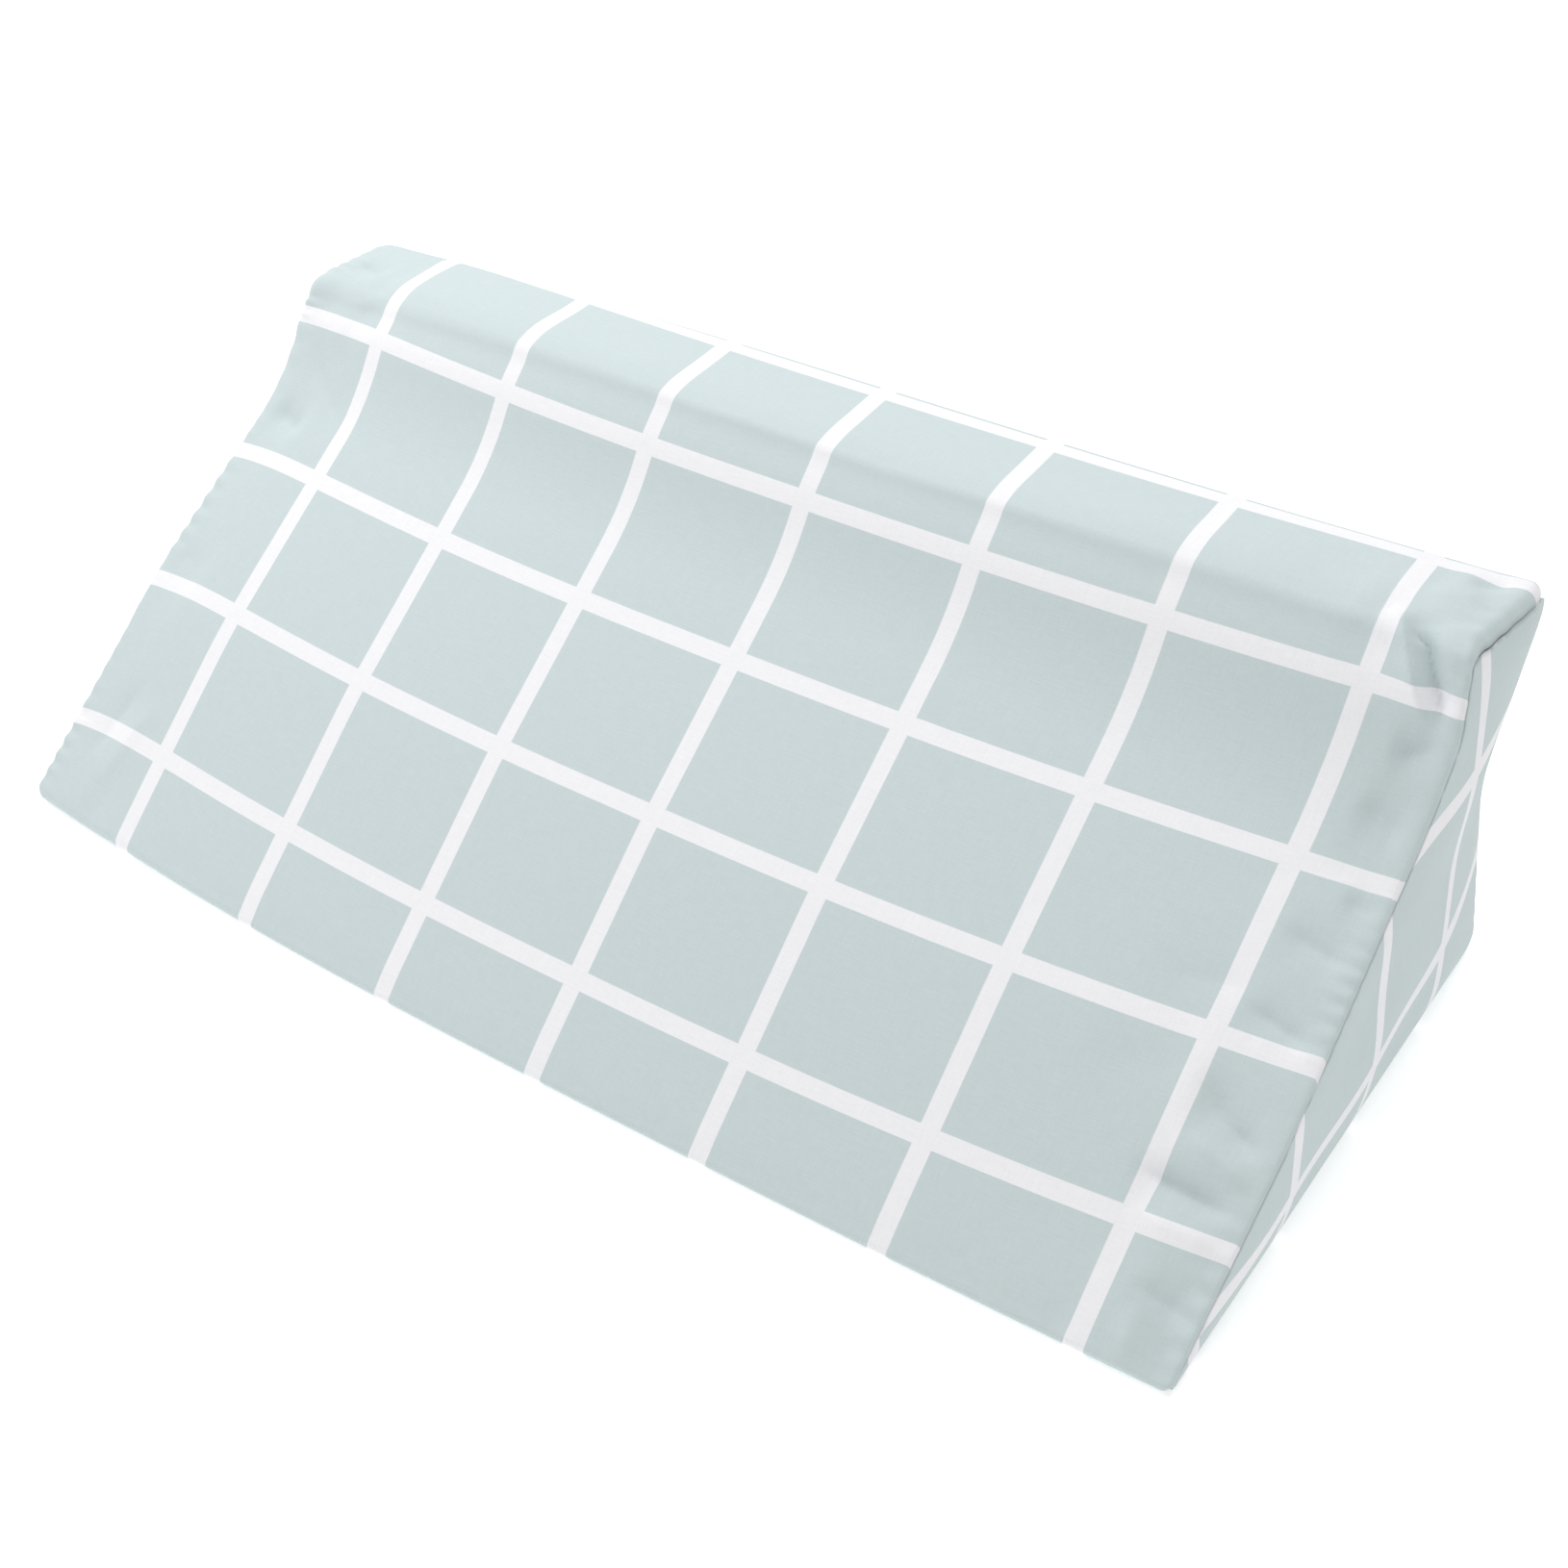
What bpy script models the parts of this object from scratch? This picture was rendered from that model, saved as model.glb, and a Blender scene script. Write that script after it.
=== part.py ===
"""A wedge pillow: a soft wedge in a woven cotton cover, lying on its flat base.

The cover is three cut pieces. One long strip wraps the slope, the nose, the top, the back and
the base, and a small panel closes each end. The strip and its filling are one solid here, and
each end panel is a thin sheet sewn inside the strip's edge.

Sizes are in millimetres until a mesh is made. x runs along the pillow, y to the back, z up.
"""

import math
from collections import namedtuple

import bpy
import numpy as np

NAME = "wedge_pillow"
MM_PER_METRE = 1000.0

# The middle of the pillow's footprint, which the meshes are centred on
FOOTPRINT_X = 4.8
FOOTPRINT_Y = -4.0

# The section half-way along, corner by corner, from the front edge up the slope and round by
# the back. radius rounds the corner in arc steps, run is the number of steps on to the next
# corner, and turn is the radius with which the face after the corner rolls over into the ends.
Corner = namedtuple("Corner", "name y z radius arc run turn")
SECTION = (
    Corner("front edge", -135.6, 0, 2.2, 4, 10, 3),
    Corner("slope", -60, 67, 260, 2, 8, 5),
    Corner("dip", 23.5, 130, 90, 6, 3, 6),
    Corner("nose", 47, 168.5, 7, 5, 7, 8),
    Corner("ridge", 101.5, 173, 15, 5, 3, 7),
    Corner("back", 115, 86, 300, 1, 3, 7),
    Corner("back foot", 124.5, 0, 5, 3, 8, 3),
)

# The same corners at the two seams, which the sewing draws in. reach is how far the seam
# stands from x = 0 at that corner.
SeamCorner = namedtuple("SeamCorner", "name reach y z radius")
LEFT_SEAM = (
    SeamCorner("front edge", 249, -128, 0, 4.5),
    SeamCorner("slope", 245, -52, 68, 260),
    SeamCorner("dip", 243, 36, 127, 80),
    SeamCorner("nose", 241, 55, 163, 13),
    SeamCorner("ridge", 236, 101, 168.5, 17),
    SeamCorner("back", 240, 113, 84, 300),
    SeamCorner("back foot", 250, 122, 0, 6),
)
RIGHT_SEAM = (
    SeamCorner("front edge", 248, -132.5, 0, 2.4),
    SeamCorner("slope", 251, -56, 63, 260),
    SeamCorner("dip", 250, 28, 118, 80),
    SeamCorner("nose", 246, 48, 172, 8),
    SeamCorner("ridge", 253, 101.5, 174.5, 14),
    SeamCorner("back", 253, 114, 86, 300),
    SeamCorner("back foot", 260, 124, 0, 6),
)

# Soft folds of the strip near its seams. end is -1 for the left and 1 for the right. Each runs
# from (in_0, s_0) to (in_1, s_1): in is measured in from the seam, s over the cloth from the
# front edge. A trough has a height below zero.
Fold = namedtuple("Fold", "end in_0 s_0 in_1 s_1 width height")
FOLDS = (
    Fold(1, 27, 256, 3, 224, 4.5, -3.0),
    Fold(1, 36, 258, 10, 222, 6, 1.8),
    Fold(1, 1, 216, 22, 208, 6, -2.0),
    Fold(1, 2, 284, 18, 278, 5, -1.8),
    Fold(1, 1, 268, 14, 272, 8, 1.6),
    Fold(1, 2, 192, 30, 196, 8, -1.2),
    Fold(1, 2, 146, 32, 152, 8, -1.2),
    Fold(1, 2, 112, 28, 120, 8, -1.1),
    Fold(1, 2, 74, 46, 88, 8, -1.6),
    Fold(1, 2, 60, 40, 64, 7, 1.0),
    Fold(1, 2, 50, 36, 48, 7, -1.3),
    Fold(1, 2, 22, 26, 28, 7, -1.4),
    Fold(-1, 2, 190, 26, 184, 7, -2.2),
    Fold(-1, 2, 268, 22, 262, 7, -1.8),
    Fold(-1, 2, 112, 24, 104, 8, -1.0),
    Fold(-1, 14, 20, 24, 74, 6, -0.8),
    Fold(-1, 26, 12, 34, 66, 6, 0.7),
)

# How fast the sewing draws the section in on the way from the middle to a seam
DRAWN_POWER = 2.4

# Small puckers that the sewing pulls into the strip's edges, one every pitch
PUCKER_PITCH = 12.0
PUCKER_REACH = 8.0
PUCKER_DEPTH = 0.6
PUCKER_DRIFT = 31.0

# The folds die out over this band above the base, which stays flat
FLAT_BELOW = 2.0
FULL_ABOVE = 14.0

# Places of the sections between a seam's turn, at 0, and the middle, at 1
STATIONS = (0.0, 0.02, 0.04, 0.063, 0.09, 0.12, 0.155, 0.2, 0.29, 0.46, 0.68, 0.88)
TURN_STEPS = 3

# The seam is a narrow valley, in which the edge of the end panel lies
SEAM_WIDTH = 1.2
SEAM_DEPTH = 2.1

PANEL_THICK = 1.5
PANEL_GAP = 0.3
PANEL_EDGE_GAP = 0.5
PANEL_BULGE = 5.0
PANEL_SHRINKS = (1.0, 0.94, 0.8, 0.55, 0.28)

# The top of each end's bulge, as y and z, which every corner of the section looks straight at
BULGE_TOP = (46, 64)

CLOTH_COLOUR = (0.62, 0.70, 0.70)
CLOTH_ROUGHNESS = 0.9


def crossing(start, way, other_start, other_way):
    """Where two lines of the section meet."""
    gap = other_start - start
    return start + way * (np.cross(gap, other_way) / np.cross(way, other_way))


def outline(corners, insets):
    """One loop of points: each face moved in by its inset, then the corners rounded."""
    points = [np.array([corner.y, corner.z], float) for corner in corners]
    ways = [np.roll(points, -1, axis=0)[i] - point for i, point in enumerate(points)]
    ways = [way / np.linalg.norm(way) for way in ways]
    starts = [p + np.array([w[1], -w[0]]) * inset for p, w, inset in zip(points, ways, insets)]
    arcs = []
    for i, corner in enumerate(corners):
        before, after = ways[i - 1], ways[i]
        tip = crossing(starts[i - 1], before, starts[i], after)
        turn = math.atan2(np.cross(before, after), before @ after)
        convex = turn < 0
        inset = (insets[i - 1] + insets[i]) / 2
        radius = max(corner.radius - inset, 0.6) if convex else corner.radius + inset
        start = tip - before * radius * math.tan(abs(turn) / 2)
        centre = start + np.array([before[1], -before[0]]) * (radius if convex else -radius)
        spoke = start - centre
        steps = SECTION[i].arc
        angles = np.arange(steps + 1) * turn / steps
        arcs.append(
            centre
            + np.outer(np.cos(angles), spoke)
            + np.outer(np.sin(angles), [-spoke[1], spoke[0]])
        )
    loop = []
    for i, corner in enumerate(SECTION):
        run_start, run_end = arcs[i][-1], arcs[(i + 1) % len(arcs)][0]
        steps = np.arange(1, corner.run)[:, None] / corner.run
        loop += [arcs[i], run_start + (run_end - run_start) * steps]
    return np.concatenate(loop)


def around(values, on_runs=False):
    """Spread values over the points of a loop, each held on its corner's arc or on the run after."""
    places, spread, at = [], [], 0
    for corner, value in zip(SECTION, values):
        start, steps = (at + corner.arc, corner.run) if on_runs else (at, corner.arc)
        places += [start, start + steps]
        spread += [value, value]
        at += corner.arc + corner.run
    return np.interp(np.arange(at), places, spread, period=at)


SEAMS = {-1: LEFT_SEAM, 1: RIGHT_SEAM}
REACH = {end: around([corner.reach for corner in seam]) for end, seam in SEAMS.items()}
TURNS = [corner.turn for corner in SECTION]
TURN = around(TURNS, on_runs=True)
NO_INSET = [0.0] * len(SECTION)
MIDDLE = outline(SECTION, NO_INSET)
STEPS = np.linalg.norm(np.diff(MIDDLE, axis=0), axis=1)
ALONG = np.concatenate([[0.0], np.cumsum(STEPS)]) - STEPS[: SECTION[0].arc // 2].sum()


def outward(loop):
    """Unit normals of a loop, pointing out of the pillow."""
    way = np.roll(loop, -1, axis=0) - np.roll(loop, 1, axis=0)
    way /= np.linalg.norm(way, axis=1)[:, None]
    return np.column_stack([-way[:, 1], way[:, 0]])


def fold_height(fold, inside):
    """How high one fold stands at each point of a loop that lies this far in from the seam."""
    start = np.array([fold.in_0, fold.s_0], float)
    way = np.array([fold.in_1, fold.s_1]) - start
    length = np.linalg.norm(way)
    way /= length
    off = np.column_stack([inside, ALONG]) - start
    share = off @ way / length
    across = off @ np.array([-way[1], way[0]])
    fade = np.clip(1.25 - 2.5 * np.abs(share - 0.5), 0, 1)
    return fold.height * np.exp(-((across / fold.width) ** 2)) * fade**2 * (3 - 2 * fade)


def swell(end, inside):
    """How far the folds and puckers move the points of a loop out of the plain section."""
    total = sum(fold_height(fold, inside) for fold in FOLDS if fold.end == end)
    beat = np.sin(2 * math.pi * ALONG / PUCKER_PITCH + np.sin(ALONG / PUCKER_DRIFT + end))
    total += PUCKER_DEPTH * beat * np.exp(-((inside / PUCKER_REACH) ** 2))
    rise = (MIDDLE[:, 1] - FLAT_BELOW) / (FULL_ABOVE - FLAT_BELOW)
    return total * np.clip(rise, 0, 1)


def ring(end, inside, loop):
    """A loop of the section with its x values, on the pillow's own footprint."""
    x = end * (REACH[end] - inside)
    return np.column_stack([x - FOOTPRINT_X, loop[:, 0] - FOOTPRINT_Y, loop[:, 1]])


def strip_ring(end, place):
    """One loop of the strip, at a place between the seam's turn and the middle."""
    inside = TURN + place * (REACH[end] - TURN)
    drawn = (1 - inside / REACH[end]) ** DRAWN_POWER
    seam = outline(SEAMS[end], NO_INSET)
    loop = MIDDLE + (seam - MIDDLE) * drawn[:, None]
    loop += outward(loop) * swell(end, inside)[:, None]
    return ring(end, inside, loop)


def turn_ring(end, angle):
    """One loop of the strip where it rolls over into the end: 0 faces out of the end."""
    inside = TURN * (1 - math.cos(angle))
    loop = outline(SEAMS[end], [turn * (1 - math.sin(angle)) for turn in TURNS])
    loop += outward(loop) * (swell(end, inside) * math.sin(angle))[:, None]
    return ring(end, inside, loop)


def end_ring(end, inset, depth, shrink=1.0):
    """One loop of an end face: inside the seam, sunk by a depth, and shrunk to the bulge's top."""
    loop = outline(SEAMS[end], [turn + inset for turn in TURNS])
    loop = BULGE_TOP + (loop - BULGE_TOP) * shrink
    level = (REACH[end] - REACH[end].mean()) * (1 - shrink)
    return ring(end, depth + level - PANEL_BULGE * (1 - shrink**2), loop)


def end_centre(end, depth):
    return end_ring(end, SEAM_WIDTH, depth, 0.0).mean(axis=0)


def end_to_middle(end):
    """The cushion's loops from the middle of one end face to the middle of the strip."""
    face = [end_ring(end, SEAM_WIDTH, SEAM_DEPTH, shrink) for shrink in PANEL_SHRINKS[::-1]]
    valley = [end_ring(end, SEAM_WIDTH / 2, SEAM_DEPTH / 2)]
    turn = [turn_ring(end, math.pi / 2 * k / TURN_STEPS) for k in range(TURN_STEPS)]
    strip = [strip_ring(end, place) for place in STATIONS]
    return face + valley + turn + strip


def loft(name, rings, first, last):
    """Skin a row of unlike loops, left to right, and close it with a fan at each end."""
    count, tail = len(rings[0]), len(rings[0]) * (len(rings) - 1) + 1
    points = np.concatenate([[first], *rings, [last]]) / MM_PER_METRE
    faces = []
    for k in range(count):
        after = (k + 1) % count
        faces.append((0, 1 + k, 1 + after))
        for low in range(1, tail, count):
            faces.append((low + k, low + count + k, low + count + after, low + after))
        faces.append((tail + count, tail + after, tail + k))
    mesh = bpy.data.meshes.new(name)
    mesh.from_pydata(points.tolist(), [], faces)
    mesh.materials.append(cloth(name))
    mesh.shade_smooth()
    mesh.set_sharp_from_angle(angle=math.radians(50))
    return bpy.data.objects.new(name, mesh)


def cloth(name):
    material = bpy.data.materials.new(name)
    material.use_nodes = True
    shader = material.node_tree.nodes["Principled BSDF"]
    shader.inputs["Base Color"].default_value = (*CLOTH_COLOUR, 1.0)
    shader.inputs["Roughness"].default_value = CLOTH_ROUGHNESS
    shader.inputs["Metallic"].default_value = 0.0
    return material


def make_cushion():
    """The filled wedge in its strip, with a bulged face for each end panel to lie on."""
    rings = end_to_middle(-1) + end_to_middle(1)[::-1]
    return loft("wedge_cushion", rings, end_centre(-1, SEAM_DEPTH), end_centre(1, SEAM_DEPTH))


def make_end_panel(name, end):
    """A thin sheet that follows the bulge of its end, just clear of the cushion."""
    inner = SEAM_DEPTH - PANEL_GAP
    outer = inner - PANEL_THICK
    edge = SEAM_WIDTH + PANEL_EDGE_GAP
    rings = [end_ring(end, edge, inner, shrink) for shrink in PANEL_SHRINKS[::-1]]
    rings += [end_ring(end, edge, outer, shrink) for shrink in PANEL_SHRINKS]
    centres = [end_centre(end, inner), end_centre(end, outer)]
    if end < 0:
        rings.reverse()
        centres.reverse()
    return loft(name, rings, *centres)


def main():
    for thing in list(bpy.data.objects):
        bpy.data.objects.remove(thing, do_unlink=True)
    pieces = bpy.data.collections.new(NAME)
    bpy.context.scene.collection.children.link(pieces)
    pieces.objects.link(make_cushion())
    pieces.objects.link(make_end_panel("end_panel_left", -1))
    pieces.objects.link(make_end_panel("end_panel_right", 1))


main()
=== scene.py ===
# %% [markdown]
# # A wedge pillow in check cotton
# The real pillow is a foam wedge in a sewn cover. One long strip of cotton goes round the base,
# the slope, the raised nose, the top and the back, and a small panel closes each end. This
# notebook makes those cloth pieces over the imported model, which holds the sizes. Everything is
# in metres in Blender, but a maker measures in millimetres, so the tables do too.

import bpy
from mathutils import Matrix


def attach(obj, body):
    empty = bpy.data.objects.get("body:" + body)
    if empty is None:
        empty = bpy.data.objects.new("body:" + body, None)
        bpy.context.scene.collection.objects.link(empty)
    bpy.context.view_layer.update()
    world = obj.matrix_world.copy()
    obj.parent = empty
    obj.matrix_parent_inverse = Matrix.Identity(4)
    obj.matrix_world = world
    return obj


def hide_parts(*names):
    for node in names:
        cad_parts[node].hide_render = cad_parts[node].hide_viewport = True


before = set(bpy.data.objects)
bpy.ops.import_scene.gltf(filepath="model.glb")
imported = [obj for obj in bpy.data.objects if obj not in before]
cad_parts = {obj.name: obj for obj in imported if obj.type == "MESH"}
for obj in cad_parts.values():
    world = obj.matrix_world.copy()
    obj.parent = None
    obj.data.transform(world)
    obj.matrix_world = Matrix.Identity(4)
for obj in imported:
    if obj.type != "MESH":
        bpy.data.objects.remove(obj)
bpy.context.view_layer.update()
print("packed nodes:", sorted(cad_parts))

# %% Tools for the rest
import math
from collections import namedtuple

import bpy
import numpy as np
from mathutils import Matrix, Vector

MM = 0.001

# %% [markdown]
# ## The camera
# With 500 mm between the seams it stands about 80 cm off, 31 degrees to the right and 38
# degrees above, and leans over by 2 degrees.

# %% Camera
CAMERA_AT = Vector((333.37, -505.03, 517.91)) * MM
CAMERA_RIGHT = Vector((0.84230579, 0.53833649, 0.02673549))
CAMERA_UP = Vector((-0.34887823, 0.50671804, 0.78836591))
LENS_MM = 46.91
SENSOR_MM = 36.0


def place_camera():
    """Adds the camera, with its axes set directly from the measured view."""
    bpy.ops.object.select_all(action="DESELECT")
    bpy.ops.object.camera_add()
    camera = bpy.context.object
    axes = (CAMERA_RIGHT, CAMERA_UP, CAMERA_RIGHT.cross(CAMERA_UP))
    camera.matrix_world = Matrix.Translation(CAMERA_AT) @ Matrix(axes).transposed().to_4x4()
    camera.data.sensor_width = SENSOR_MM
    camera.data.lens = LENS_MM
    bpy.context.scene.camera = camera
    return camera


print("camera at", tuple(round(value, 3) for value in place_camera().location))

# %% [markdown]
# ## The section
# The foam gives the pillow its section: a slope that dips into the nose, a flat top, and a back
# that leans forward a little. Each corner has a radius. At the two seams the sewing draws the
# same corners in, each end a little differently, as on any sewn cover. All places are
# in millimetres, and steps count the rows of the mesh: arc round a corner, run on to the next.

# %% Section tables
Corner = namedtuple("Corner", "name y z radius arc run turn")
SECTION = (
    Corner("front edge", -135.6, 0, 2.2, 6, 76, 1.6),
    Corner("slope", -60, 67, 260, 8, 58, 1.8),
    Corner("dip", 23.5, 130, 90, 24, 16, 2.2),
    Corner("nose", 47, 168.5, 7, 8, 22, 5),
    Corner("ridge", 101.5, 173, 15, 9, 22, 4),
    Corner("back", 115, 86, 300, 4, 24, 3),
    Corner("back foot", 124.5, 0, 5, 6, 50, 1.6),
)

SeamCorner = namedtuple("SeamCorner", "name reach y z radius")
LEFT_SEAM = (
    SeamCorner("front edge", 249, -128, 0, 4.5),
    SeamCorner("slope", 245, -52, 68, 260),
    SeamCorner("dip", 243, 36, 127, 80),
    SeamCorner("nose", 241, 55, 163, 13),
    SeamCorner("ridge", 236, 101, 168.5, 17),
    SeamCorner("back", 240, 113, 84, 300),
    SeamCorner("back foot", 250, 122, 0, 6),
)
RIGHT_SEAM = (
    SeamCorner("front edge", 248, -132.5, 0, 2.4),
    SeamCorner("slope", 251, -56, 63, 260),
    SeamCorner("dip", 250, 28, 118, 80),
    SeamCorner("nose", 246, 48, 172, 8),
    SeamCorner("ridge", 253, 101.5, 174.5, 14),
    SeamCorner("back", 248, 114, 86, 300),
    SeamCorner("back foot", 260, 124, 0, 6),
)
SEAMS = {-1: LEFT_SEAM, 1: RIGHT_SEAM}
FOOTPRINT = np.array([4.8, -4.0, 0.0])  # middle of the footprint in the tables' own measures
DRAWN_POWER = 2.4  # how late, towards the seams, the section is drawn in
SHARPEST = 0.6  # the smallest corner radius
print("section corners:", ", ".join(corner.name for corner in SECTION))

# %% [markdown]
# Rounding a corner is plain school geometry: move each face in, find where the faces meet, and
# swing an arc between them. The loop starts where the strip's own closing seam lies, at the back
# of the base, so the print runs without a break over everything that shows.

# %% Section outline


def crossing(start, way, other_start, other_way):
    """Where two lines of the section meet."""
    gap = other_start - start
    return start + way * (np.cross(gap, other_way) / np.cross(way, other_way))


def outline(corners, insets):
    """One loop of the section, with each face moved in by its inset and the corners rounded."""
    points = [np.array([corner.y, corner.z], float) for corner in corners]
    ways = [points[(i + 1) % len(points)] - point for i, point in enumerate(points)]
    ways = [way / np.linalg.norm(way) for way in ways]
    starts = [p + np.array([w[1], -w[0]]) * inset for p, w, inset in zip(points, ways, insets)]
    arcs = []
    for i, corner in enumerate(corners):
        before, after = ways[i - 1], ways[i]
        tip = crossing(starts[i - 1], before, starts[i], after)
        turn = math.atan2(np.cross(before, after), before @ after)
        inset = (insets[i - 1] + insets[i]) / 2
        radius = max(corner.radius - inset, SHARPEST) if turn < 0 else corner.radius + inset
        start = tip - before * radius * math.tan(abs(turn) / 2)
        spoke = np.array([-before[1], before[0]]) * math.copysign(radius, -turn)
        angles = np.linspace(0, turn, SECTION[i].arc + 1)
        swing = np.outer(np.cos(angles), spoke) + np.outer(np.sin(angles), [-spoke[1], spoke[0]])
        arcs.append(start - spoke + swing)
    loop = []
    for i, corner in enumerate(SECTION):
        run_start, run_end = arcs[i][-1], arcs[(i + 1) % len(arcs)][0]
        steps = np.arange(1, corner.run)[:, None] / corner.run
        loop += [arcs[i], run_start + (run_end - run_start) * steps]
    return strip_order(np.concatenate(loop))


def strip_order(loop):
    """Turns a loop so that it starts after the back foot, where the strip's two edges meet."""
    return np.roll(loop, SECTION[-1].run - 1, axis=0)


def around(values, on_runs=False):
    """Spread values over a loop, each held on its corner's arc or on the run after."""
    places, spread, at = [], [], 0
    for corner, value in zip(SECTION, values):
        start, steps = (at + corner.arc, corner.run) if on_runs else (at, corner.arc)
        places += [start, start + steps]
        spread += [value, value]
        at += corner.arc + corner.run
    return strip_order(np.interp(np.arange(at), places, spread, period=at))


# The strip rolls over into its ends with the turn radius of each face. On the back and the base
# it also stops a little short, so that the panel's edge covers it there.
TURNS = [corner.turn for corner in SECTION]
TURN = around(TURNS, on_runs=True)
TUCK = around([0, 0, 0, 0, 2.0, 2.0, 2.2], on_runs=True)
REACH = {end: around([corner.reach for corner in SEAMS[end]]) for end in SEAMS}
MIDDLE = outline(SECTION, [0.0] * len(SECTION))
DRAWN = {end: outline(SEAMS[end], [0.0] * len(SECTION)) for end in SEAMS}
print("rows round the section:", len(MIDDLE))

# %% [markdown]
# ## Measuring over the cloth
# Folds are placed in cloth measures: how far in from a seam, and how far over the cloth from the
# front edge. The middle section gives the second one.

# %% Cloth measures of the middle section
GIRTH_STEPS = np.linalg.norm(np.roll(MIDDLE, -1, axis=0) - MIDDLE, axis=1)
FRONT_ROW = SECTION[-1].run - 1 + SECTION[0].arc // 2
ALONG = np.concatenate([[0.0], np.cumsum(GIRTH_STEPS)])[:-1]
ALONG -= ALONG[FRONT_ROW]
print(f"the strip is {GIRTH_STEPS.sum():.0f} mm round")

# %% [markdown]
# ## Folds
# Sewing pulls cloth into small folds that run in from the seam and fade. Each fold here is a
# soft trough, or a ridge where the height is above zero, along a short line on the cloth. The
# line's two ends are measured in from the seam and over the cloth from the front edge. Between
# the folds the seam puckers: small regular waves from the stitching, which come and go.

# %% Fold tables
Fold = namedtuple("Fold", "end in_0 s_0 in_1 s_1 width height")
FOLDS = (
    Fold(1, 19, 257, 2, 219, 2.6, -5.4),
    Fold(1, 26, 259, 8, 219, 2.4, 4.0),
    Fold(1, 14, 250, 2, 234, 9, 1.6),
    Fold(1, 0, 219, 18, 212, 3.4, -3.4),
    Fold(1, 0, 231, 10, 228, 2.6, -2.2),
    Fold(1, 0, 286, 16, 279, 4, -2.6),
    Fold(1, 2, 272, 24, 268, 9, 1.2),
    Fold(1, 0, 196, 22, 200, 5, -2.8),
    Fold(1, 0, 172, 14, 174, 5, -1.6),
    Fold(1, 0, 148, 28, 153, 6, -2.2),
    Fold(1, 0, 112, 30, 121, 6, -2.8),
    Fold(1, 0, 78, 34, 97, 5, -4.0),
    Fold(1, 0, 70, 30, 80, 5, 2.2),
    Fold(1, 0, 60, 40, 62, 5, -4.6),
    Fold(1, 0, 49, 34, 49, 6, 2.2),
    Fold(1, 0, 24, 24, 28, 6, -2.6),
    Fold(1, 0, -20, 3, 44, 8, -3.0),
    Fold(1, 15, -24, 18, 46, 9, 3.0),
    Fold(1, 20, 128, 60, 118, 10, -1.2),
    Fold(1, 30, 96, 70, 88, 10, -1.2),
    Fold(-1, 2, 190, 26, 184, 6, -3.0),
    Fold(-1, 2, 268, 22, 262, 6, -2.4),
    Fold(-1, 4, 216, 50, 186, 6, -1.2),
    Fold(-1, 2, 112, 24, 104, 8, -1.2),
    Fold(-1, 14, 20, 24, 74, 5, -1.6),
    Fold(-1, 26, 12, 34, 66, 5, 1.4),
)
CREASE = 1.2  # half the width of a fold's rounded bottom
FOLD_FADE = 2.5  # a fold has its full height over the middle fifth of its line
PUCKER_PITCH = 9.0
PUCKER_REACH = 5.0
PUCKER_DEPTH = 0.5
PUCKER_DRIFT = 13.0  # the pitch drifts and the depth comes and goes over these lengths
PUCKER_SPELL = 17.0
PUCKER_STEADY = 0.6
SEAM_HOLD = 0.7  # the share of a fold that the stitching keeps out of the seam itself
HOLD_REACH = 5.0
HOLLOW_AT = 243.0  # the nose's bend sinks in a little next to each seam
HOLLOW_WIDE = 10.0
HOLLOW_DEPTH = 2.8
FLAT_BELOW = 2.0  # the base lies flat, so lifts start above it
FULL_ABOVE = 9.0


def fold_height(fold, inside, along):
    """How high one fold stands at points that lie this far in from the seam."""
    start = np.array([fold.in_0, fold.s_0], float)
    way = np.array([fold.in_1, fold.s_1]) - start
    length = np.linalg.norm(way)
    way /= length
    off = np.stack([inside, along], axis=-1) - start
    share = off @ way / length
    across = off @ np.array([-way[1], way[0]])
    fade = np.clip(FOLD_FADE * (0.5 - np.abs(share - 0.5)), 0, 1)
    crease = np.exp((CREASE - np.hypot(across, CREASE)) / fold.width)
    return fold.height * crease * fade**2 * (3 - 2 * fade)


def off_base(height):
    """0 where the cloth lies on its base, 1 where it stands clear of it."""
    return np.clip((height - FLAT_BELOW) / (FULL_ABOVE - FLAT_BELOW), 0, 1)


def swell(end, inside):
    """How far all the folds and puckers of one end lift the rows, inside of its rolled edge."""
    total = sum(fold_height(fold, inside, ALONG) for fold in FOLDS if fold.end == end)
    total *= 1 - SEAM_HOLD * np.exp(-((inside / HOLD_REACH) ** 2))
    hollow = np.exp(-(((ALONG - HOLLOW_AT) / HOLLOW_WIDE) ** 2))
    total -= HOLLOW_DEPTH * hollow * (1 - np.exp(-((inside / HOLLOW_WIDE) ** 2)))
    beat = np.sin(2 * math.pi * ALONG / PUCKER_PITCH + np.sin(ALONG / PUCKER_DRIFT + end))
    beat *= PUCKER_STEADY + (1 - PUCKER_STEADY) * np.sin(ALONG / PUCKER_SPELL)
    total += PUCKER_DEPTH * beat * np.exp(-((inside / PUCKER_REACH) ** 2))
    return total * off_base(MIDDLE[:, 1])


SEAM_SWELL = {end: swell(end, np.zeros(len(ALONG))) for end in SEAMS}
print("folds:", len(FOLDS))

# %% [markdown]
# ## The strip on its filling
# A maker cuts one flat strip and wraps it round the foam. The mesh is made the same way: a flat
# grid primitive is the cloth, and each of its points is then carried to its place on the
# pillow. A loft of section curves would give the same form, but the grid keeps the cloth's own
# directions, so the print needs no unwrapping. Columns lie close together near the seams, where
# the folds are, and further apart in the middle.

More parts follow.
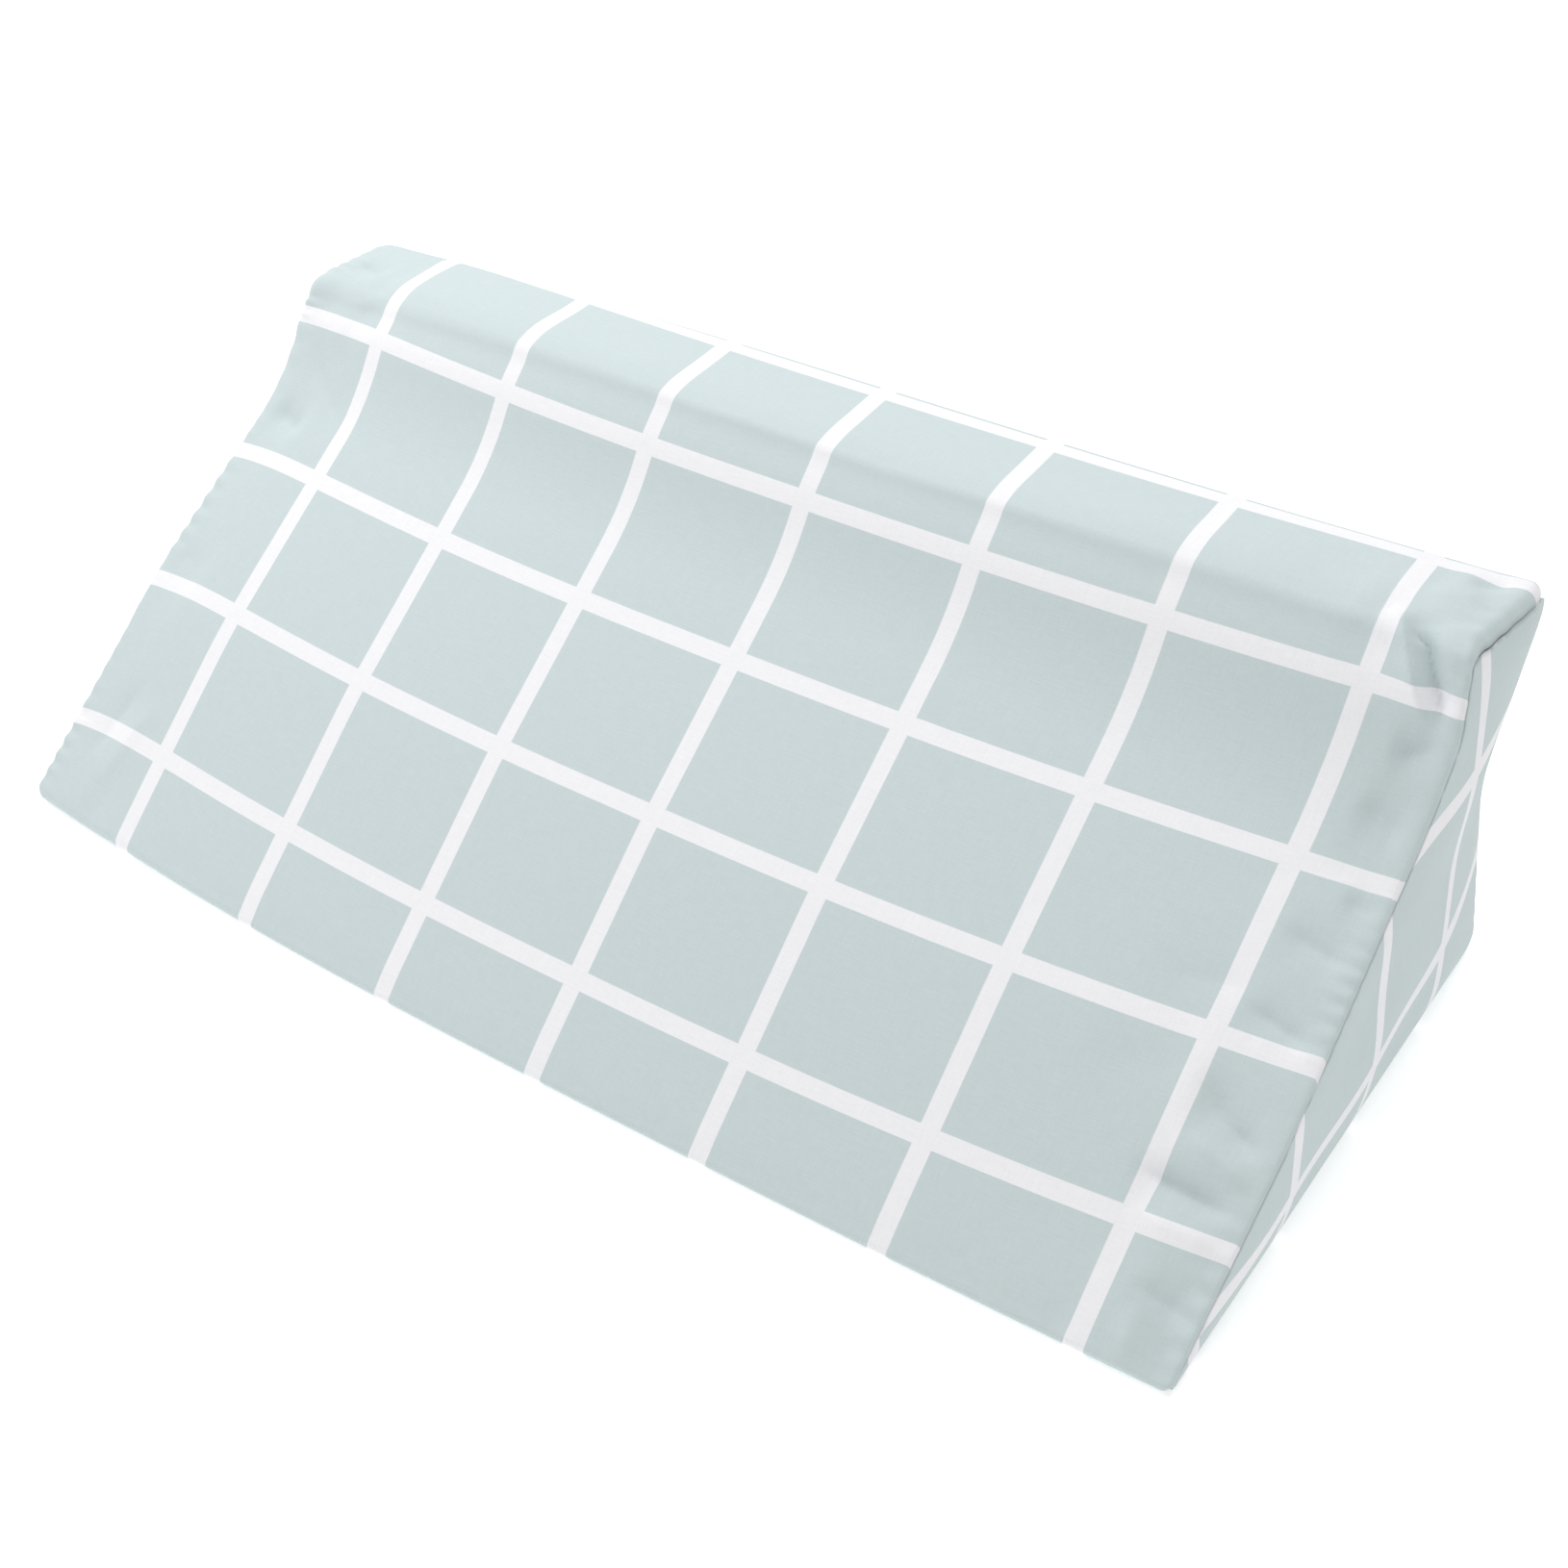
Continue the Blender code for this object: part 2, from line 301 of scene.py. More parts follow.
# %% Columns of the strip
HALF_LENGTH = 250.0
FINE_STEP = 1.4
FINE_REACH = 42.0
COARSE_STEP = 4.0
TURN_COLUMNS = 6
SEAM_WIDTH = 1.2  # the groove between the rolled edge and the panel
SEAM_DEPTH = 4.6
SEAM_STEPS = 3
BULGE_TOP = np.array([46.0, 64.0])
BULGE = 3.5
CAP_SHRINKS = (0.25, 0.5, 0.75, 0.94, 1.0)
HIDDEN_CLOTH = 10.0  # how much further out the print's measure lies behind the panel
# Painted shade: these columns, from the bottom of the seam's groove up onto the rolled edge, get
# their colour darkened by these shares, and less where the edge is tucked.
SHADED_COLUMNS = len(CAP_SHRINKS) - 1 + np.arange(5)
SEAM_SHADES = (1.0, 1.0, 1.0, 0.8, 0.3)
TUCKED_SHADE = 0.6


def outward(loop):
    """Unit normals of a loop, pointing out of the pillow."""
    way = np.roll(loop, -1, axis=0) - np.roll(loop, 1, axis=0)
    way /= np.linalg.norm(way, axis=1)[:, None]
    return np.column_stack([-way[:, 1], way[:, 0]])


def strip_places():
    """Shares of the way from a seam to the middle, close together near the seam."""
    fine = np.linspace(0, FINE_REACH, round(FINE_REACH / FINE_STEP), endpoint=False)
    coarse_steps = round((HALF_LENGTH - FINE_REACH) / COARSE_STEP)
    coarse = np.linspace(FINE_REACH, HALF_LENGTH, coarse_steps + 1)
    return np.concatenate([fine, coarse]) / HALF_LENGTH


def column(end, inside, loop, lift=0.0):
    """A column of the strip: its points, its cloth's place along the pillow, and its loop."""
    x = end * (REACH[end] - inside)
    lifted = loop + outward(loop) * np.broadcast_to(lift, len(loop))[:, None]
    return np.column_stack([x, lifted]), x, loop


def strip_column(end, place):
    """One column between a seam's turn, at 0, and the middle, at 1."""
    start = TUCK + TURN
    inside = start + place * (REACH[end] - start)
    drawn = (1 - inside / REACH[end]) ** DRAWN_POWER
    loop = MIDDLE + (DRAWN[end] - MIDDLE) * drawn[:, None]
    return column(end, inside, loop, swell(end, inside - start))


def turn_column(end, angle):
    """One column where the strip rolls over into the end: 0 faces out of the end."""
    inside = TUCK + TURN * (1 - math.cos(angle))
    loop = outline(SEAMS[end], [turn * (1 - math.sin(angle)) for turn in TURNS])
    points, x, loop = column(end, inside, loop, SEAM_SWELL[end])
    return points, x + end * TURN * (math.pi / 2 - angle - math.cos(angle)), loop


def end_column(end, inset, depth, shrink=1.0):
    """One column inside the seam, sunk by a depth and shrunk to the bulge's top."""
    loop = outline(SEAMS[end], [turn + inset for turn in TURNS])
    loop += outward(loop) * SEAM_SWELL[end][:, None]
    loop = BULGE_TOP + (loop - BULGE_TOP) * shrink
    level = (REACH[end] - REACH[end].mean()) * (1 - shrink)
    points, x, loop = column(end, TUCK + depth + level - BULGE * (1 - shrink**2), loop)
    return points, x + end * HIDDEN_CLOTH, loop


def half_strip(end):
    """Every column from the middle of one end face to the middle of the strip."""
    columns = [end_column(end, SEAM_WIDTH, SEAM_DEPTH, shrink) for shrink in CAP_SHRINKS]
    for step in range(SEAM_STEPS - 1, 0, -1):
        share = step / SEAM_STEPS
        columns.append(end_column(end, SEAM_WIDTH * share, SEAM_DEPTH * share))
    angles = np.linspace(0, math.pi / 2, TURN_COLUMNS + 1)[:-1]
    columns += [turn_column(end, angle) for angle in angles]
    columns += [strip_column(end, place) for place in strip_places()]
    return columns


left, right = half_strip(-1), half_strip(1)
columns = left + right[-2::-1]
places = np.array([points for points, x, loop in columns])
cloth_x = np.array([x for points, x, loop in columns])
loops = np.array([loop for points, x, loop in columns])
EDGE_COLUMNS = len(left) - len(strip_places())
print("columns and rows:", places.shape[:2])

# %% [markdown]
# ## Letting the cloth settle
# The cover is cut a touch larger than its foam and the foam pushes it out, so it lies a little
# uneven between the seams. Cloth simulation gives that. It runs on a coarse copy of the strip
# without its folds, held along the seams and the base, with the foam's push as air pressure and
# no gravity. Each point may then move by a millimetre or so, and the fine cloth takes that over.

# %% Simulate a coarse copy
SETTLE_STEP = 7.0
SETTLE_ROWS = 4
SETTLE_FRAMES = 20
SETTLE_PRESSURE = 4.0
SETTLE_SLACK = 0.012  # how much larger than the foam the cover is cut
SETTLE_CAP = 1.3
SMOOTH_PASSES = 8


def select_only(piece):
    """Makes one object the only one that operators act on."""
    bpy.ops.object.select_all(action="DESELECT")
    piece.select_set(True)
    bpy.context.view_layer.objects.active = piece


def read_points(mesh):
    """The mesh's points as rows of x, y, z."""
    flat = np.empty(len(mesh.vertices) * 3)
    mesh.vertices.foreach_get("co", flat)
    return flat.reshape(-1, 3)


def move_points(mesh, points):
    """Moves the mesh's points, given in metres."""
    mesh.vertices.foreach_set("co", np.ascontiguousarray(points, float).ravel())
    mesh.update()


def flat_cloth(name, wide, long):
    """A flat grid of wide by long points, and the column and row of each point."""
    bpy.ops.object.select_all(action="DESELECT")
    bpy.ops.mesh.primitive_grid_add(x_subdivisions=wide - 1, y_subdivisions=long - 1, size=1)
    cloth = bpy.context.object
    cloth.name = cloth.data.name = name
    share = read_points(cloth.data)[:, :2] + 0.5
    spots = np.rint(share * [wide - 1, long - 1]).astype(int)
    return cloth, spots[:, 0], spots[:, 1]


def settled(table):
    """Simulates a table of points as cloth, held at its sides and on the base."""
    cloth, column_of, row_of = flat_cloth("settling_cloth", *table.shape[:2])
    move_points(cloth.data, table[column_of, row_of] * MM)
    held = (column_of == 0) | (column_of == len(table) - 1)
    held |= table[column_of, row_of, 2] < FLAT_BELOW
    sewn = cloth.vertex_groups.new(name="sewn")
    sewn.add(np.flatnonzero(held).tolist(), 1.0, "REPLACE")
    select_only(cloth)
    push = cloth.modifiers.new("settle", "CLOTH")
    push.settings.vertex_group_mass = "sewn"
    push.settings.use_pressure = True
    push.settings.uniform_pressure_force = SETTLE_PRESSURE
    push.settings.shrink_min = -SETTLE_SLACK
    push.settings.effector_weights.gravity = 0
    push.point_cache.frame_end = SETTLE_FRAMES
    for number in range(1, SETTLE_FRAMES + 1):
        bpy.context.scene.frame_set(number)
    bpy.ops.object.modifier_apply(modifier=push.name)
    result = np.empty_like(table)
    result[column_of, row_of] = read_points(cloth.data) / MM
    bpy.data.objects.remove(cloth)
    bpy.context.scene.frame_set(1)
    return result


def fill_between(values, picked, count):
    """Fills in the rows of a table between the picked ones."""
    lines = values.reshape(len(picked), -1).T
    filled = [np.interp(np.arange(count), picked, line) for line in lines]
    return np.array(filled).T.reshape(count, *values.shape[1:])


def spread_moves(moves, picked_columns, picked_rows, shape):
    """Carries moves at the picked columns and rows over to the whole table, and smooths them."""
    wide = fill_between(moves, picked_columns, shape[0])
    full = fill_between(wide.swapaxes(0, 1), picked_rows, shape[1]).swapaxes(0, 1)
    for _ in range(SMOOTH_PASSES):
        full[1:-1] = (full[:-2] + 2 * full[1:-1] + full[2:]) / 4
        full[:, 1:-1] = (full[:, :-2] + 2 * full[:, 1:-1] + full[:, 2:]) / 4
    return full


def with_both_ends(chosen, count):
    """The chosen places in a row of count, with the first and the last."""
    return np.unique(np.concatenate([[0], chosen, [count - 1]]))


inner = slice(EDGE_COLUMNS, len(places) - EDGE_COLUMNS)
strip = np.concatenate([places[inner, :, :1], loops[inner]], axis=2)
marks = np.arange(strip[0, :, 0].max(), strip[-1, :, 0].min(), SETTLE_STEP)[1:]
picked_columns = with_both_ends(np.searchsorted(strip[:, 0, 0], marks), strip.shape[0])
picked_rows = with_both_ends(np.arange(0, strip.shape[1], SETTLE_ROWS), strip.shape[1])
coarse = strip[np.ix_(picked_columns, picked_rows)]
moves = settled(coarse) - coarse
size = np.linalg.norm(moves, axis=2, keepdims=True)
print(f"the cloth wants to move by {size.mean():.1f} mm, and at most {size.max():.1f} mm")
moves *= SETTLE_CAP / (SETTLE_CAP + size)
places[inner] += spread_moves(moves, picked_columns, picked_rows, strip.shape)

# %% [markdown]
# The print belongs to the cloth, so each column is measured over its own section from the front
# edge. At the ends the drawn-in front edge takes a little more cloth under the base, which lifts
# the bands there. These measures go into a UV map in metres, and the pattern then bends and
# dips with the surface, as a real print does. The two edges of the strip meet under the base, so
# its first row is repeated as its last, and each keeps its own measures along that closing seam.

# %% Print measures
EDGE_LIFT = {-1: 4.5, 1: 8.0}
SEAM_DROP = {-1: 6.5, 1: 0.0}  # the left seam takes some of it back, close to the edge
SEAM_POWER = 12
LIFT_FADE = {-1: (200.0, 290.0), 1: (165.0, 400.0)}  # full below, gone above, over the cloth


def repeat_row(table):
    """Repeats the strip's first row as its last."""
    return np.concatenate([table, table[:, :1]], axis=1)


wrapped = repeat_row(places)
steps = np.linalg.norm(np.diff(repeat_row(loops), axis=1), axis=2)
over = np.concatenate([np.zeros((len(steps), 1)), np.cumsum(steps, axis=1)], axis=1)
over -= over[:, [FRONT_ROW]]
over[:EDGE_COLUMNS] = over[EDGE_COLUMNS]
over[-EDGE_COLUMNS:] = over[-EDGE_COLUMNS - 1]
along = repeat_row(cloth_x)
way_out = np.minimum(np.abs(along) / HALF_LENGTH, 1.0)
for end in SEAMS:
    full, gone = LIFT_FADE[end]
    lift = EDGE_LIFT[end] * way_out**DRAWN_POWER - SEAM_DROP[end] * way_out**SEAM_POWER
    lift *= np.clip((gone - over) / (gone - full), 0, 1)
    over = np.where(along * end > 0, over - lift, over)
cloth_measures = np.stack([along, over], axis=-1)
print(f"the print's measures run to {over.max():.0f} mm over the cloth")

# %% [markdown]
# The flat grid now takes the wrapped form. It also gets an attribute of painted shade, which
# darkens the colour in the seam's groove and on the rolled edge, as if the groove lay in shade.

# %% Wrap the flat grid round the filling


def write_cloth_map(mesh, per_point):
    """Writes a cloth measure in metres for each point to the UV map named cloth."""
    layer = mesh.uv_layers.active or mesh.uv_layers.new()
    layer.name = "cloth"
    corners = np.empty(len(mesh.loops), int)
    mesh.loops.foreach_get("vertex_index", corners)
    layer.data.foreach_set("uv", np.ascontiguousarray(per_point[corners]).ravel())


def write_shade(mesh, per_point):
    """Writes each point's painted seam shade to the attribute named seam_shade."""
    shade = mesh.attributes.new("seam_shade", "FLOAT", "POINT")
    shade.data.foreach_set("value", np.ascontiguousarray(per_point, np.float32))


cushion, at_column, at_row = flat_cloth("check_cushion", places.shape[0], places.shape[1] + 1)
move_points(cushion.data, (wrapped[at_column, at_row] - FOOTPRINT) * MM)
write_cloth_map(cushion.data, cloth_measures[at_column, at_row] * MM)
# Painted shade for the seam's groove, one share per column, none on the base.
painted_shade_by_column = np.zeros(len(places))
painted_shade_by_column[SHADED_COLUMNS] = SEAM_SHADES
painted_shade_by_column[-1 - SHADED_COLUMNS] = SEAM_SHADES
shown = 1 - TUCKED_SHADE * TUCK / TUCK.max()
shown = shown[at_row % len(shown)] * off_base(wrapped[at_column, at_row, 2])
write_shade(cushion.data, painted_shade_by_column[at_column] * shown)
print("points in the cloth:", len(cushion.data.vertices))

# %% [markdown]
# The wrapped grid is a tube. Merging by distance closes it under the base, and filling and
# poking the two small holes closes its ends, behind the end panels.

# %% Close the strip
MERGE_MM = 0.001
SMOOTH_ANGLE = math.radians(60)


def close_strip(piece):
    """Sews the strip's edges together and closes its two ends."""
    select_only(piece)
    bpy.ops.object.mode_set(mode="EDIT")
    bpy.ops.mesh.select_all(action="SELECT")
    bpy.ops.mesh.remove_doubles(threshold=MERGE_MM * MM)
    bpy.ops.mesh.select_all(action="DESELECT")
    bpy.ops.mesh.select_mode(type="EDGE")
    bpy.ops.mesh.select_non_manifold()
    bpy.ops.mesh.edge_face_add()
    bpy.ops.mesh.poke()
    bpy.ops.mesh.select_all(action="SELECT")
    bpy.ops.mesh.normals_make_consistent(inside=False)
    bpy.ops.object.mode_set(mode="OBJECT")


close_strip(cushion)
bpy.ops.object.shade_smooth_by_angle(angle=SMOOTH_ANGLE)
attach(cushion, "root")
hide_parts("wedge_cushion")
print("cushion faces:", len(cushion.data.polygons))

# %% [markdown]
# ## The end panels
# Each end is closed by a flat panel that is sewn in all round and pushed out a little by the
# foam. A circle primitive with one point for each row of the strip takes the panel's outline. It
# is filled by extruding the rim and shrinking it towards a point in the middle, over and over,
# and every point is then pushed out by how far it lies from the seam.

# %% Panel form
PANEL_THICK = 1.2
PANEL_GAP = 1.2
TUCKED_GAP = 0.8
PANEL_RINGS = 26
RING_POWER = 1.5  # the rings lie closer together near the seam
LAST_RINGS = (0.02, 0.005)
PANEL_MIDDLE = (64.0, 62.0)
PANEL_BULGE = 5.5
BULGE_REACH = 26.0
EDGE_DIP = 0.2
EDGE_DIP_REACH = 1.6
RIPPLE = 0.5
RIPPLE_FREE = 9.0
NEAREST = 0.05
RIM_SHADE_REACH = 0.7
RIM_SHADE_NEAR = 2.5


def near_seam(points, rim, reach):
    """How far points lie from the rim, softened so that it has no ridges, and the reach there."""
    step = np.linalg.norm(np.roll(rim, -1, axis=0) - rim, axis=1)
    far, level = np.empty(len(points)), np.empty(len(points))
    for i, point in enumerate(points):
        gap = np.maximum(np.linalg.norm(rim - point, axis=1), NEAREST)
        pull = step / gap**3
        far[i] = math.sqrt(2 / pull.sum())
        level[i] = pull @ reach / pull.sum()
    return far, level


def slow_waves(end, back, up):
    """The cloth's own unevenness: waves that cross each other, some centimetres long."""
    waves = np.sin(up / 9.5 + back / 41 + end) * np.sin(back / 17 - up / 60)
    return waves + 0.6 * np.sin(up / 21 - back / 13)


def panel_depth(end, points, rim):
    """How far out of the pillow's middle each point of the panel stands, and its seam distance."""
    far, level = near_seam(points, rim, REACH[end])
    bulge = PANEL_BULGE * (1 - np.exp(-far / BULGE_REACH))
    free = 1 - np.exp(-((far / RIPPLE_FREE) ** 2))
    depth = level + bulge + RIPPLE * slow_waves(end, *points.T) * free
    return depth - EDGE_DIP * np.exp(-far / EDGE_DIP_REACH), far


# %% Fill and bulge the panels


def panel_sheet(name, end):
    """An open sheet in the shape of one end, from a circle that takes the seam's outline."""
    rim = outline(SEAMS[end], [turn + PANEL_GAP for turn in TURNS[:4]] + [TUCKED_GAP] * 3)
    rim += outward(rim) * SEAM_SWELL[end][:, None]
    bpy.ops.object.select_all(action="DESELECT")
    bpy.ops.mesh.primitive_circle_add(vertices=len(rim), radius=1, fill_type="NOTHING")
    sheet = bpy.context.object
    sheet.name = sheet.data.name = name
    move_points(sheet.data, np.column_stack([np.zeros(len(rim)), rim]) * MM)
    bpy.ops.object.mode_set(mode="EDIT")
    bpy.ops.mesh.select_all(action="SELECT")
    top = Vector((0, *PANEL_MIDDLE)) * MM
    shares = np.append(1 - (np.arange(PANEL_RINGS) / PANEL_RINGS) ** RING_POWER, LAST_RINGS)
    for before, after in zip(shares, shares[1:]):
        bpy.ops.mesh.extrude_edges_move()
        bpy.ops.transform.resize(value=(after / before,) * 3, center_override=top)
    bpy.ops.mesh.merge(type="CENTER")
    bpy.ops.object.mode_set(mode="OBJECT")
    return sheet, rim


def bulge_panel(sheet, end, rim):
    """Pushes the sheet out, faces it outwards and writes its cloth measures and its painted seam
    shade.
    """
    flat = read_points(sheet.data)[:, 1:] / MM
    depth, far = panel_depth(end, flat, rim)
    move_points(sheet.data, (np.column_stack([end * depth, flat]) - FOOTPRINT) * MM)
    write_cloth_map(sheet.data, flat * MM)
    # Painted shade along the panel's rim where it meets the open seam: strongest right at the rim,
    # none on the base or by the tucked seams.
    painted_rim_shade = np.exp(-((far / RIM_SHADE_REACH) ** 2))
    front = outline(SEAMS[end], TURNS)[np.flatnonzero(TUCK == 0)]
    near_front = np.linalg.norm(flat[:, None] - front[::3], axis=2).min(axis=1)
    near_front = near_front < RIM_SHADE_NEAR * PANEL_GAP
    write_shade(sheet.data, painted_rim_shade * off_base(flat[:, 1]) * near_front)
    facing = sum(face.normal.x * face.area for face in sheet.data.polygons)
    if facing * end < 0:
        sheet.data.flip_normals()


def thicken_panel(sheet):
    """Gives the sheet its thickness, inwards, and smooth shading."""
    select_only(sheet)
    wall = sheet.modifiers.new("cloth", "SOLIDIFY")
    wall.thickness = PANEL_THICK * MM
    wall.offset = -1
    bpy.ops.object.modifier_apply(modifier=wall.name)
    bpy.ops.object.shade_smooth_by_angle(angle=SMOOTH_ANGLE)


PANELS = {}
for node, end in (("end_panel_left", -1), ("end_panel_right", 1)):
    sheet, rim = panel_sheet(node.replace("end_panel", "end_cotton"), end)
    bulge_panel(sheet, end, rim)
    thicken_panel(sheet)
    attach(sheet, "root")
    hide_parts(node)
    PANELS[end] = sheet

# %% [markdown]
# ## Printed cotton
# The cover looks like plain-woven cotton sheeting, with a sage ground and a white windowpane
# check. The bands have crisp edges and one even white, also where they cross, so it is drawn as
# a print. The pattern is worked out in the shader from the cloth measures: the distance to the
# nearest band is a ping-pong of the measure over half the repeat.

# %% Colour and node helpers


def linear(hex_colour):
    """An sRGB colour such as #c8d4d5 as Blender's linear values."""
    parts = [int(hex_colour[i : i + 2], 16) / 255 for i in (1, 3, 5)]
    return [p / 12.92 if p <= 0.04045 else ((p + 0.055) / 1.055) ** 2.4 for p in parts] + [1.0]


def add_node(tree, kind, links=(), **settings):
    """Adds a node with its settings. links are (its input, a socket or a value)."""
    node = tree.nodes.new(kind)
    for name, value in settings.items():
        setattr(node, name, value)
    for name, value in links:
        if isinstance(value, bpy.types.NodeSocket):
            tree.links.new(value, node.inputs[name])
        else:
            node.inputs[name].default_value = value
    return node


# %% [markdown]
# Sheeting like this has about 25 threads to the centimetre, which is finer than the picture can
# show, so the weave is drawn at nearly twice that size. What the eye does see are slubs: threads
# that are a little thicker for a centimetre or so, which run along both thread directions.

# %% Cotton material
SAGE = "#c8d4d5"
WHITE = "#f1f1f4"
BAND_WIDTH = 6.9
BAND_EDGE = 0.18
Check = namedtuple("Check", "repeat_x repeat_over first_x first_over")
STRIP_CHECK = Check(68.7, 62.6, -195.9, 38.1)
THREAD = 0.7
SLUB_WIDE = 0.7
SLUB_LONG = 7.0
SLUB_SWING = 0.025  # how much lighter or darker a slub is than the cloth
WEAVE_SHARE = 0.15  # the weave's part in the relief, next to the slubs
RELIEF_MM = 0.12
# Painted shade: the share of its colour that the cloth keeps at the bottom of the seam's groove.
PAINTED_SEAM_SHADE = 0.52  # how dark the bottom of the seam's groove is


def band_mask(tree, measure, repeat, first):
    """1 on the white bands across one measure of the cloth, 0 between them."""
    start = add_node(tree, "ShaderNodeMath", [(0, measure), (1, first * MM)], operation="SUBTRACT")
    off = add_node(
        tree, "ShaderNodeMath", [(0, start.outputs[0]), (1, repeat * MM / 2)], operation="PINGPONG"
    )
    soft = add_node(
        tree,
        "ShaderNodeMapRange",
        [
            ("Value", off.outputs[0]),
            ("From Min", (BAND_WIDTH / 2 + BAND_EDGE) * MM),
            ("From Max", (BAND_WIDTH / 2 - BAND_EDGE) * MM),
        ],
    )
    return soft.outputs[0]


def slubs(tree, cloth, wide, long):
    """Noise drawn out along one thread direction."""
    spread = add_node(
        tree,
        "ShaderNodeMapping",
        [("Vector", cloth), ("Scale", (1 / (wide * MM), 1 / (long * MM), 1))],
    )
    noise = add_node(
        tree,
        "ShaderNodeTexNoise",
        [("Vector", spread.outputs[0]), ("Scale", 1.0), ("Detail", 2.0)],
        noise_dimensions="2D",
    )
    return noise.outputs[0]


def weave(tree, across, over):
    """A plain weave: threads over and under in both directions."""
    waves = []
    for measure in (across, over):
        turn = add_node(
            tree,
            "ShaderNodeMath",
            [(0, measure), (1, 2 * math.pi / (THREAD * MM))],
            operation="MULTIPLY",
        )
        waves.append(add_node(tree, "ShaderNodeMath", [(0, turn.outputs[0])], operation="SINE"))
    return add_node(
        tree,
        "ShaderNodeMath",
        [(0, waves[0].outputs[0]), (1, waves[1].outputs[0])],
        operation="MULTIPLY",
    ).outputs[0]


def check_cotton(name, check):
    """Plain-woven printed cotton: matt, a little fuzzy, with the check at its real size."""
    material = bpy.data.materials.new(name)
    material.use_nodes = True
    tree = material.node_tree
    shader = tree.nodes["Principled BSDF"]
    shader.inputs["Roughness"].default_value = 0.92
    shader.inputs["Specular IOR Level"].default_value = 0.25
    shader.inputs["Sheen Weight"].default_value = 0.12
    shader.inputs["Sheen Roughness"].default_value = 0.6
    cloth = add_node(tree, "ShaderNodeUVMap", uv_map="cloth").outputs[0]
    parts = add_node(tree, "ShaderNodeSeparateXYZ", [(0, cloth)])
    across, over = parts.outputs[0], parts.outputs[1]
    bands = add_node(
        tree,
        "ShaderNodeMath",
        [
            (0, band_mask(tree, across, check.repeat_x, check.first_x)),
            (1, band_mask(tree, over, check.repeat_over, check.first_over)),
        ],
        operation="MAXIMUM",
    )
    warp = slubs(tree, cloth, SLUB_WIDE, SLUB_LONG)
    weft = slubs(tree, cloth, SLUB_LONG, SLUB_WIDE)
    both = add_node(tree, "ShaderNodeMath", [(0, warp), (1, weft)], operation="ADD").outputs[0]
    tone = add_node(
        tree,
        "ShaderNodeMapRange",
        [
            ("Value", both),
            ("From Min", 0.6),
            ("From Max", 1.4),
            ("To Min", 1 - SLUB_SWING),
            ("To Max", 1 + SLUB_SWING),
        ],
    )
    dyed = add_node(
        tree,
        "ShaderNodeMix",
        [("Factor", bands.outputs[0]), (6, linear(SAGE)), (7, linear(WHITE))],
        data_type="RGBA",
    )
    toned = add_node(
        tree,
        "ShaderNodeVectorMath",
        [(0, dyed.outputs[2]), (3, tone.outputs[0])],
        operation="SCALE",
    )
    # Painted shade: the seam_shade attribute darkens the base colour in the seam's groove and
    # along the panels' rims.
    shade = add_node(tree, "ShaderNodeAttribute", attribute_name="seam_shade")
    dark = add_node(
        tree,
        "ShaderNodeMapRange",
        [("Value", shade.outputs["Fac"]), ("To Min", 1.0), ("To Max", PAINTED_SEAM_SHADE)],
    )
    shaded = add_node(
        tree,
        "ShaderNodeVectorMath",
        [(0, toned.outputs[0]), (3, dark.outputs[0])],
        operation="SCALE",
    )
    tree.links.new(shaded.outputs[0], shader.inputs["Base Color"])
    relief = add_node(
        tree,
        "ShaderNodeMath",
        [(0, weave(tree, across, over)), (1, WEAVE_SHARE), (2, both)],
        operation="MULTIPLY_ADD",
    )
    bump = add_node(
        tree,
        "ShaderNodeBump",
        [("Strength", 0.35), ("Distance", RELIEF_MM * MM), ("Height", relief.outputs[0])],
    )
    tree.links.new(bump.outputs[0], shader.inputs["Normal"])
    return material


# %% [markdown]
# The end panels are cut from the same cloth, but parallel to the leaning back edge, and the
# sewing has pulled it a little askew. So their two cloth measures are slanted ones: a start, a
# share of the way to the back, a share of the way up, and a slight twist. A band lies at every
# repeat of 68.7 mm.

# %% Put the cotton on
Grain = namedtuple("Grain", "start back up twist")
END_GRAIN = (Grain(59.8, 1.129, 0.087, -0.00006), Grain(-28.5, -0.126, 0.9, -0.00037))
END_CHECK = Check(68.7, 68.7, 0.0, 0.0)


def slant_measures(mesh):
    """Turns a panel's cloth measures from back and up to the two directions of its grain."""
    layer = mesh.uv_layers["cloth"]
    flat = np.empty(len(mesh.loops) * 2)
    layer.data.foreach_get("uv", flat)
    back, up = flat.reshape(-1, 2).T / MM
    measures = [g.start + g.back * back + g.up * up + g.twist * back * up for g in END_GRAIN]
    layer.data.foreach_set("uv", np.ascontiguousarray(np.column_stack(measures) * MM).ravel())


